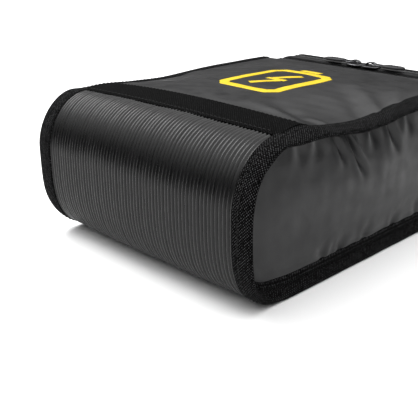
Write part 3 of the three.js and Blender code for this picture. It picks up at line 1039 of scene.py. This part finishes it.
# ---------------------------------------------------------------- mouth, zip and lid
HOOP_RADIUS = 14 * MM
INNER_RADIUS = 12 * MM
ZIP_TAPE_THICK = 0.8 * MM
COIL_PITCH = 1.4 * MM
COIL_WIRE = 0.24 * MM
COIL_REACH = 1.25 * MM
COIL_RISE = 0.75 * MM
COIL_STEPS = 10
BAND_ROWS = 14
BAND_OVERLAP = 0.15 * MM
BAND_BOW = 0.4 * MM
PLATE_GRID = (60, 90)
PIPING_RADIUS = 1.5 * MM
HINGE_GRID = (30, 60)


def hoop(inset, count=260, low=lid_low[2]):
    """The mouth's outline in x and z, up the right side and down the left, and its outward
    direction, at the given depth inside the skin."""
    half = GUSSET_OUT_X - inset
    top = THICKNESS - inset
    radius = HOOP_RADIUS - inset
    turn = np.linspace(0, math.pi / 2, 24)
    right_x = np.concatenate([[half], half - radius + radius * np.cos(turn)])
    right_z = np.concatenate([[low], top - radius + radius * np.sin(turn)])
    outline = np.stack([np.concatenate([right_x, -right_x[::-1]]),
                        np.concatenate([right_z, right_z[::-1]])], axis=-1)
    length = travelled(outline)
    travel = np.linspace(0, length[-1], count)
    x, z = (np.interp(travel, length, values) for values in outline.T)
    tangent_x, tangent_z = np.gradient(x), np.gradient(z)
    size = np.hypot(tangent_x, tangent_z)
    return x, z, tangent_z / size, -tangent_x / size


def hoop_band(name, node, thickness, material, slot, body, bow=0.0):
    """A band of cloth round the mouth, between the CAD band's two edges."""
    low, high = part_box(node)
    x, z, out_x, out_z = hoop(0.05 * MM, low=low[2])
    y = np.linspace(low[1] - BAND_OVERLAP, high[1] + BAND_OVERLAP, BAND_ROWS)[:, None]
    along = np.linspace(-1, 1, BAND_ROWS)[:, None]
    lift = bow * (1 - along ** 2) + 0.12 * MM * unevenness(y, x + z, 15 * MM, 71)
    points = placed(x + out_x * lift, y, z + out_z * lift)
    band = closed_sheet(name, points, thickness, placed(out_x, 0, out_z))
    finish_piece(band, material, slot, body, node)


def build_coil(name, node, body, phase, toward):
    """A nylon coil: a wire wound along the tape's edge, reaching across to the other coil."""
    low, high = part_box(node)
    centre_y = (low[1] + high[1]) / 2 + toward * 0.35 * MM
    line = hoop(0.1 * MM, low=low[2] + 0.4 * MM, count=2600)
    length = travelled(np.stack(line[:2], axis=-1))
    turns = int(length[-1] / COIL_PITCH)
    travel = np.linspace(0, length[-1], turns * COIL_STEPS)
    turn = 2 * math.pi * travel / COIL_PITCH + phase
    x, z, out_x, out_z = (np.interp(travel, length, values) for values in line)
    rise = COIL_RISE * np.sin(turn)
    path = placed(x + out_x * rise, centre_y + COIL_REACH * np.cos(turn), z + out_z * rise)
    coil = tube(name, path, COIL_WIRE, TO_LID, sides=5)
    finish_piece(coil, NYLON, "zip_coil", body, node)


def plate(name, node, radius, thickness, dent=None):
    """An upright plate of cloth with two rounded upper corners; its face looks to +Y."""
    low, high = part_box(node)
    u, share = shares(*PLATE_GRID)
    z = low[2] + (high[2] - low[2]) * u ** 0.9
    over = np.clip(z - (high[2] - radius), 0, radius)
    half = high[0] - (radius - np.sqrt(np.maximum(radius ** 2 - over ** 2, 0)))
    x = half * (2 * share - 1)
    depth = dent(x, z) if dent else 0
    return closed_sheet(name, placed(x, high[1] + depth, z), thickness, TO_LID)


def lid_dent(x, z):
    """The lid's cloth pulls in round the handle's patches and stays soft between them."""
    soft = 0.35 * MM * (unevenness(x, z, 35 * MM, 81) - 1)
    edge = ease(1.0, 0.8, np.abs(x) / lid_high[0]) * ease(lid_low[2], lid_low[2] + 10 * MM, z)
    from_patch = np.abs(x) - (handle_high[0] - 10 * MM)
    handle_middle = (handle_low[2] + handle_high[2]) / 2
    pulled = hump(from_patch, 0, 16 * MM) * hump(z, handle_middle, 20 * MM)
    return soft * edge - 0.3 * MM * pulled


def build_mouth_and_lid():
    hoop_band("mouth_band", "mouth_collar", SKIN, FABRIC, "coated_fabric", "bag", BAND_BOW)
    hoop_band("body_zip_band", "body_zip_tape", ZIP_TAPE_THICK, ZIP_TAPE, "zip_tape", "bag")
    hoop_band("lid_zip_band", "lid_zip_tape", ZIP_TAPE_THICK, ZIP_TAPE, "zip_tape", "lid")
    hoop_band("lid_side_band", "lid_rim", SKIN, FABRIC, "coated_fabric", "lid", BAND_BOW)
    build_coil("body_coil", "body_zip_coil", "bag", 0.0, 1)
    build_coil("lid_coil", "lid_zip_coil", "lid", math.pi, -1)
    cover = plate("lid_cover", "lid_panel", HOOP_RADIUS, SKIN, lid_dent)
    finish_piece(cover, FABRIC, "coated_fabric", "lid", "lid_panel")
    pad_low, pad_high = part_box("lid_padding")
    pad = plate("lid_pad", "lid_padding", INNER_RADIUS, pad_high[1] - pad_low[1])
    finish_pad(pad, "lid", "lid_padding")
    cloth = plate("lid_inner_cloth", "lid_lining", INNER_RADIUS, LINING_THICK)
    finish_piece(cloth, GLASS, "glass_cloth", "lid", "lid_lining")
    x, z, _, _ = hoop(0.9 * MM)
    piping = tube("lid_piping", placed(x, END_Y - 0.6 * MM, z), PIPING_RADIUS, TO_LID)
    finish_piece(piping, TAPE, "woven_tape", "lid")
    from_edge = 2.2 * MM
    collar_low, collar_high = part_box("mouth_collar")
    rim_low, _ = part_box("lid_rim")
    for label, body, y, foot in (("mouth", "bag", collar_high[1] - from_edge, collar_low[2]),
                                 ("lid", "lid", rim_low[1] + from_edge, rim_low[2])):
        x, z, out_x, out_z = hoop(0.0, low=foot + 2 * MM)
        away = placed(out_x, 0, out_z)
        stitches(f"{label}_stitches", placed(x, y, z) + 0.35 * MM * away, away, body, "woven_tape")


def build_hinge_fold():
    """The tape that joins the lid to the back along the ground."""
    low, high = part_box("lid_hinge_tape")
    foot, top = 0.2 * MM, 12.5 * MM
    rows, columns = HINGE_GRID
    z = np.linspace(foot, top, rows)[:, None]
    x = np.linspace(low[0], high[0], columns)[None, :]
    soft = 0.15 * MM * unevenness(x, z, 20 * MM, 91)
    y = END_Y + 0.9 * MM + soft * ease(top, 9 * MM, z)
    fold = closed_sheet("lid_hinge_fold", placed(x, y, z), TAPE_THICK, TO_LID)
    finish_piece(fold, TAPE, "woven_tape", None, "lid_hinge_tape")
    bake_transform(fold)


# ---------------------------------------------------------------- handle
STRAP_THICK = 1.7 * MM
STRAP_BOW = 2.6 * MM
PATCH_THICK = 0.8 * MM
ACROSS_POINTS = 24


def build_handle():
    """A webbing strap bowed between two stitched patches on the lid."""
    half = handle_high[0]
    patch_low, patch_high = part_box("right_handle_patch")
    inner, outer = patch_low[0], patch_high[0]
    low, high = handle_low[2], handle_high[2]
    x = np.linspace(-half, half, 150)[:, None]
    span = half - (outer - inner)
    bow = STRAP_BOW * ease(0, 0.55, np.clip((span - np.abs(x)) / span, 0, 1))
    across = np.linspace(-1, 1, ACROSS_POINTS)
    z = np.linspace(low, high, ACROSS_POINTS)
    y = END_Y + 0.3 * MM + STRAP_THICK + bow - 0.35 * MM * np.abs(across) ** 6
    strap = closed_sheet("handle_strap", placed(x, y, z), STRAP_THICK, TO_LID)
    finish_piece(strap, WEBBING, "webbing", "lid", "carry_handle")

    patch_x = np.linspace(inner + 0.2 * MM, outer + 0.8 * MM, ACROSS_POINTS)[:, None]
    patch_z = np.linspace(low - 0.6 * MM, high + 0.6 * MM, ACROSS_POINTS)[None, :]
    rim = np.maximum(np.abs(across)[:, None], np.abs(across)[None, :])
    face = patch_high[1] - 0.5 * MM * rim ** 8
    inset = 2.6 * MM
    corners = np.array([(inner + inset, low + inset), (outer - inset, low + inset),
                        (outer - inset, high - inset), (inner + inset, high - inset)])
    # Round the square, then both diagonals
    order = [0, 1, 2, 3, 0, 2, 3, 1]
    spots = np.concatenate([np.linspace(corners[a], corners[b], 12, endpoint=False)
                            for a, b in zip(order, order[1:])])
    for label, side in (("right", 1), ("left", -1)):
        points = placed(side * patch_x, face, patch_z)
        patch = closed_sheet(f"{label}_patch", points, PATCH_THICK, TO_LID)
        finish_piece(patch, WEBBING, "webbing", "lid", f"{label}_handle_patch")
        path = placed(side * spots[:, 0], patch_high[1], spots[:, 1])
        stitches(f"{label}_patch_stitches", path, TO_LID, "lid", "webbing", 2.6 * MM, 2.1 * MM)


# ---------------------------------------------------------------- zip sliders and pulls
# Half of the slider's outline, from nose to tail: share of its half length and half width
SLIDER_SHAPE = [(1, 0.72), (0.55, 1), (-0.45, 0.82), (-1, 0.62)]
SLIDER_TOP = 94.4 * MM
PULL_WIRE = 0.55 * MM
LOOP_HALF = 2.6 * MM
GRIP_HALF = 0.9 * MM
RIDGES = 4
RIDGE_HALF = 0.45 * MM
RIDGE_TOP = 1.3 * MM


def both_sides(corners, middle_y):
    """A closed outline from its far half, given as x and distance from the middle line."""
    far_side = [(x, middle_y + away) for x, away in corners]
    near_side = [(x, middle_y - away) for x, away in corners]
    return far_side + near_side[::-1]


def bevelled(name, outline, z_low, z_high, bevel, segments=3):
    """A flat outline given as (x, y) corners, made solid and rounded along every edge."""
    count = len(outline)
    vertices = [(x, y, z_low) for x, y in outline] + [(x, y, z_high) for x, y in outline]
    faces = [tuple(range(count))[::-1], tuple(range(count, 2 * count))]
    faces += [(i, (i + 1) % count, count + (i + 1) % count, count + i) for i in range(count)]
    thing = new_object(name, vertices, faces)
    make_outward(thing)
    rounding = thing.modifiers.new("rounding", "BEVEL")
    rounding.width = bevel
    rounding.segments = segments
    rounding.limit_method = "ANGLE"
    thing.modifiers.new("shading", "WEIGHTED_NORMAL")
    return thing


def joined(name, things):
    """One piece made of several, with their modifiers applied."""
    graph = bpy.context.evaluated_depsgraph_get()
    vertices, faces = [], []
    for thing in things:
        mesh = bpy.data.meshes.new_from_object(thing.evaluated_get(graph))
        first = len(vertices)
        vertices += [tuple(v.co) for v in mesh.vertices]
        faces += [tuple(first + i for i in face.vertices) for face in mesh.polygons]
        bpy.data.objects.remove(thing)
    return new_object(name, vertices, faces)


def build_slider(side, label):
    """A zip slider: two plates, the wedge between them and the bridge that holds the pull."""
    node = f"{label}_zip_slider"
    low, high = np.array(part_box(node))
    middle_x, middle_y, _ = (low + high) / 2
    half_x, half_y, _ = (high - low) / 2
    nose = -side * half_x
    corners = [(middle_x + nose * along, half_y * across) for along, across in SLIDER_SHAPE]
    outline = both_sides(corners, middle_y)
    wedge_half = 0.8 * MM
    wedge = [(middle_x + nose, middle_y), (middle_x + nose * 0.4, middle_y + wedge_half),
             (middle_x - nose * 0.1, middle_y), (middle_x + nose * 0.4, middle_y - wedge_half)]
    upper = bevelled("upper", outline, SLIDER_TOP - 1.3 * MM, SLIDER_TOP, 0.45 * MM)
    lower = bevelled("lower", outline, low[2], low[2] + 1.2 * MM, 0.4 * MM)
    post = bevelled("post", wedge, low[2] + 0.6 * MM, SLIDER_TOP - 0.6 * MM, 0.2 * MM, 2)
    turn = np.linspace(0, math.pi, 15)
    arch = placed(middle_x + (half_x - 1.9 * MM) * np.cos(turn), middle_y,
                  SLIDER_TOP - 0.7 * MM + (high[2] - SLIDER_TOP) * np.sin(turn) ** 0.6)
    inward = 0.9 * MM * placed(-np.cos(turn), 0, -np.sin(turn))
    width = 1.5 * MM * np.array(TO_LID)
    rings = np.stack([arch - width, arch + width,
                      arch + width * 0.85 + inward, arch - width * 0.85 + inward], axis=1)
    bridge = loft("bridge", rings)
    softer = bridge.modifiers.new("rounding", "BEVEL")
    softer.width = 0.25 * MM
    softer.segments = 2
    slider = joined(f"{label}_slider_body", [upper, lower, post, bridge])
    finish_piece(slider, METAL, "dark_metal", f"{label}_slider", node)


def build_pull(side, label):
    """A pull tab: a wire loop through the slider's bridge and a moulded grip."""
    node = f"{label}_zip_pull"
    low, high = np.array(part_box(node))
    near, far = (low[0], high[0]) if side > 0 else (high[0], low[0])
    _, middle_y, middle_z = (low + high) / 2
    half = (high[1] - low[1]) / 2
    grip_start = near + side * 11 * MM
    turn = np.linspace(math.pi / 2, 3 * math.pi / 2, 16)
    loop_end = grip_start + side * 1.5 * MM
    loop_x = np.concatenate([[loop_end], near + side * (3.4 + 2.8 * np.cos(turn)) * MM, [loop_end]])
    loop_y = middle_y + LOOP_HALF * np.concatenate([[1], np.sin(turn), [-1]])
    ring = tube(f"{label}_pull_ring", placed(loop_x, loop_y, middle_z), PULL_WIRE, UP)
    finish_piece(ring, METAL, "dark_metal", f"{label}_pull", node)
    corners = [(grip_start, 0.75 * half), (grip_start + side * 2.5 * MM, half),
               (far - side * 3 * MM, half), (far, 0.45 * half)]
    grip = bevelled("grip", both_sides(corners, middle_y), middle_z - GRIP_HALF,
                    middle_z + GRIP_HALF, 0.5 * MM)
    ridges = []
    ridge_y = 0.62 * half
    for number in range(RIDGES):
        x = grip_start + side * (5 + 2.4 * number) * MM
        outline = both_sides([(x - RIDGE_HALF, ridge_y), (x + RIDGE_HALF, ridge_y)], middle_y)
        ridges.append(bevelled("ridge", outline, middle_z, middle_z + RIDGE_TOP, 0.25 * MM, 2))
    whole = joined(f"{label}_pull_grip", [grip] + ridges)
    finish_piece(whole, GRIP, "dark_metal", f"{label}_pull")


# ---------------------------------------------------------------- printed mark
PRINT_LIFT = 0.16 * MM
PRINT_THICK = 0.1 * MM
STEPS_ALONG_LINE = 16
STEPS_ACROSS_LINE = 7


def on_front(x, y, out):
    """Points on the front panel at x, y, lifted by out; y is measured from the nose line."""
    s = WALL_END_Y - (y + NOSE_Y)
    return on_skin(s, x, front_lift(s, x) + out)


def printed_line(name, path, width):
    """A printed line along a path of (x, y) in millimetres, with mitred corners."""
    path = np.array(path, dtype=float) * MM
    ahead = unit(np.diff(path, axis=0))
    normal = np.stack([-ahead[:, 1], ahead[:, 0]], axis=-1)
    corner = np.concatenate([normal[:1], (normal[:-1] + normal[1:]) / 2, normal[-1:]])
    corner = corner / (np.linalg.norm(corner, axis=1, keepdims=True) ** 2)
    edge = corner * width * MM / 2
    last = len(path) - 2
    rows = []
    for k in range(last + 1):
        for share in np.linspace(0, 1, STEPS_ALONG_LINE, endpoint=(k == last)):
            spot = path[k] * (1 - share) + path[k + 1] * share
            reach = edge[k] * (1 - share) + edge[k + 1] * share
            rows.append(np.linspace(spot - reach, spot + reach, STEPS_ACROSS_LINE))
    x, y = np.moveaxis(np.array(rows), -1, 0)
    line = closed_sheet(name, on_front(x, y, PRINT_LIFT), PRINT_THICK, UP)
    finish_piece(line, PRINT, None, "bag")


def build_mark():
    """A plain battery sign: a closed case, its terminal and a bolt inside. In millimetres, from
    the bag's middle line and its nose line."""
    left, right, low, high, chamfer = -20, 24, 92, 152, 5
    middle = (left + right) / 2
    case = [(middle, low), (left + chamfer, low), (left, low + chamfer), (left, high - chamfer),
            (left + chamfer, high), (right - chamfer, high), (right, high - chamfer),
            (right, low + chamfer), (right - chamfer, low), (middle, low)]
    case_line, terminal_line, bolt_line, bolt_bar_line = 6.5, 5.5, 5.0, 4.0
    printed_line("mark_case", case, case_line)
    printed_line("mark_terminal", [(middle - 8, high + 7), (middle + 8, high + 7)], terminal_line)
    printed_line("mark_bolt_upper", [(middle + 7, 141), (middle - 4.5, 123)], bolt_line)
    printed_line("mark_bolt_middle", [(middle - 7.8, 122.5), (middle + 7.8, 122.5)], bolt_bar_line)
    printed_line("mark_bolt_lower", [(middle + 4.5, 122), (middle - 7, 104)], bolt_line)


build_linings_and_padding()
build_ribbed_base()
build_seam_strip("front_seam_tape", "front_seam_strip", S_STRIP_FAR, S_STRIP_NEAR)
build_seam_strip("back_seam_tape", "back_seam_strip", S_BACK_SEAM, S_BACK_PANEL)
build_front_panel()
build_back_panel()
build_binding("right_binding_tape", "right_binding", 1)
build_binding("left_binding_tape", "left_binding", -1)
build_gusset("right", 1)
build_gusset("left", -1)
build_mouth_and_lid()
build_hinge_fold()
build_handle()
for slider_side, slider_label in ((1, "right"), (-1, "left")):
    build_slider(slider_side, slider_label)
    build_pull(slider_side, slider_label)
build_mark()


# ---------------------------------------------------------------- studio
CAMERA_PLACE = (314.4 * MM, NOSE_Y - 248.6 * MM, 191.8 * MM)
CAMERA_AZIMUTH = math.radians(45.26)
CAMERA_PITCH = math.radians(20.86)
CAMERA_LENS = 64.42
SENSOR_WIDTH = 36
SOFTBOX_PLACE = (-560 * MM, -150 * MM, 700 * MM)
SOFTBOX_SIZE = (0.55, 0.35)
SOFTBOX_POWER = 6.0


def flat_stage(name, low, high, height, shade, roughness):
    """A flat rectangle that is part of the stage and not of the bag."""
    corners = [(low[0], low[1], 0), (high[0], low[1], 0), (high[0], high[1], 0), (low[0], high[1], 0)]
    thing = new_object(name, corners, [(0, 1, 2, 3)], smooth=False)
    thing.data.materials.append(Graph(name, (shade, shade, shade), roughness).material)
    thing.location.z = height


def build_world():
    """A white tent overhead that darkens towards the horizon, and pale to the camera itself."""
    world = bpy.data.worlds.new("studio")
    bpy.context.scene.world = world
    world.use_nodes = True
    nodes, links = world.node_tree.nodes, world.node_tree.links
    nodes.clear()
    split = nodes.new("ShaderNodeSeparateXYZ")
    links.new(nodes.new("ShaderNodeTexCoord").outputs["Generated"], split.inputs[0])
    height = nodes.new("ShaderNodeMapRange")
    height.interpolation_type = "SMOOTHSTEP"
    for socket, value in (("From Min", 0.3), ("From Max", 0.8), ("To Min", 0.02), ("To Max", 3.0)):
        height.inputs[socket].default_value = value
    links.new(split.outputs[2], height.inputs["Value"])
    tent = nodes.new("ShaderNodeBackground")
    links.new(height.outputs[0], tent.inputs["Strength"])
    paper = nodes.new("ShaderNodeBackground")
    paper.inputs["Strength"].default_value = 1.0
    seen = nodes.new("ShaderNodeLightPath")
    mix = nodes.new("ShaderNodeMixShader")
    links.new(seen.outputs["Is Camera Ray"], mix.inputs[0])
    links.new(tent.outputs[0], mix.inputs[1])
    links.new(paper.outputs[0], mix.inputs[2])
    out = nodes.new("ShaderNodeOutputWorld")
    links.new(mix.outputs[0], out.inputs[0])


def area_light(name, place, target, size, power):
    light = bpy.data.lights.new(name, "AREA")
    light.shape = "RECTANGLE"
    light.size, light.size_y = size
    light.energy = power
    lamp = bpy.data.objects.new(name, light)
    bpy.context.scene.collection.objects.link(lamp)
    lamp.location = place
    direction = np.array(target) - np.array(place)
    lamp.rotation_euler = Vector(direction).to_track_quat("-Z", "Y").to_euler()


def build_camera():
    """Low over the ground, off the bag's base and right side, looking at the corner between."""
    camera_data = bpy.data.cameras.new("camera")
    camera_data.lens = CAMERA_LENS
    camera_data.sensor_width = SENSOR_WIDTH
    camera_data.clip_start = 0.01
    camera = bpy.data.objects.new("camera", camera_data)
    bpy.context.scene.collection.objects.link(camera)
    camera.location = CAMERA_PLACE
    camera.rotation_euler = (math.pi / 2 - CAMERA_PITCH, 0, CAMERA_AZIMUTH)
    bpy.context.scene.camera = camera


flat_stage("floor", (-6, -6), (6, 6), -0.2 * MM, 0.95, 0.6)
# The side wall's upper part mirrors this card, which is out of the picture
flat_stage("dark_card", (0.6, 0), (2.5, 2.5), 0.8 * MM, 0.02, 0.9)
build_world()
area_light("softbox", SOFTBOX_PLACE, (0, NOSE_Y, THICKNESS), SOFTBOX_SIZE, SOFTBOX_POWER)
build_camera()
bpy.context.scene.view_settings.view_transform = "Standard"
